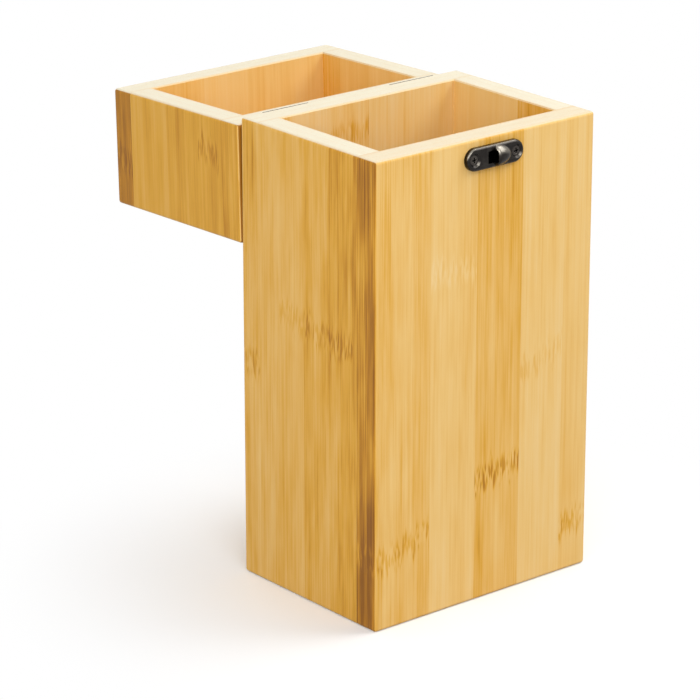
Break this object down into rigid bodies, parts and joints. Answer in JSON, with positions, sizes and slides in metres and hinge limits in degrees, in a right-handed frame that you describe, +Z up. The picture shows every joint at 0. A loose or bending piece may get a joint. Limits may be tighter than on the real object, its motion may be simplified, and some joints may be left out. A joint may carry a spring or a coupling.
{
  "type": "chopstick holder with flip lid",
  "caption": "Tall rectangular bamboo box for chopsticks with a shallow box lid that flips over the back on butt hinges and shuts with a swing hook.",
  "frame": {"origin": "centre of the underside of the base, on the surface that it stands on", "axes": "+Z up, -Y out of the front with the latch, +Y out of the back with the hinges and the opened lid, +X to the right seen from the front"},
  "size_m": [0.12, 0.1882, 0.205],
  "materials": {
    "bamboo": "clear satin lacquer on laminated bamboo strips",
    "latch_metal": "glossy black bronze plating",
    "hinge_metal": "black bronze plating",
    "screw_metal": "black bronze plating"
  },
  "bodies": {
    "box": {"box_front_panel": "bamboo", "box_back_panel": "bamboo", "box_left_panel": "bamboo", "box_right_panel": "bamboo", "box_base_panel": "bamboo", "strike_plate": "latch_metal", "strike_plate_screws": "screw_metal", "left_hinge_box_leaf": "hinge_metal", "right_hinge_box_leaf": "hinge_metal", "left_hinge_pin": "hinge_metal", "right_hinge_pin": "hinge_metal", "box_hinge_screws": "screw_metal"},
    "lid": {"lid_front_panel": "bamboo", "lid_back_panel": "bamboo", "lid_left_panel": "bamboo", "lid_right_panel": "bamboo", "lid_top_panel": "bamboo", "left_hinge_lid_leaf": "hinge_metal", "right_hinge_lid_leaf": "hinge_metal", "lid_hinge_screws": "screw_metal", "hook_plate": "latch_metal", "hook_plate_screws": "screw_metal", "hook_rivet": "latch_metal"},
    "latch_hook": {"latch_hook": "latch_metal"}
  },
  "joints": [
    {"name": "lid_hinge", "type": "hinge", "parent": "box", "child": "lid", "pos_m": [0, 0.04485, 0.20325], "axis": [1, 0, 0], "range_deg": [0, 181.6]},
    {"name": "latch_pivot", "type": "hinge", "parent": "lid", "child": "latch_hook", "pos_m": [0.0024, 0.13637, 0.19034], "axis": [0, 0.9996, -0.0279], "range_deg": [-30, 111]}
  ]
}
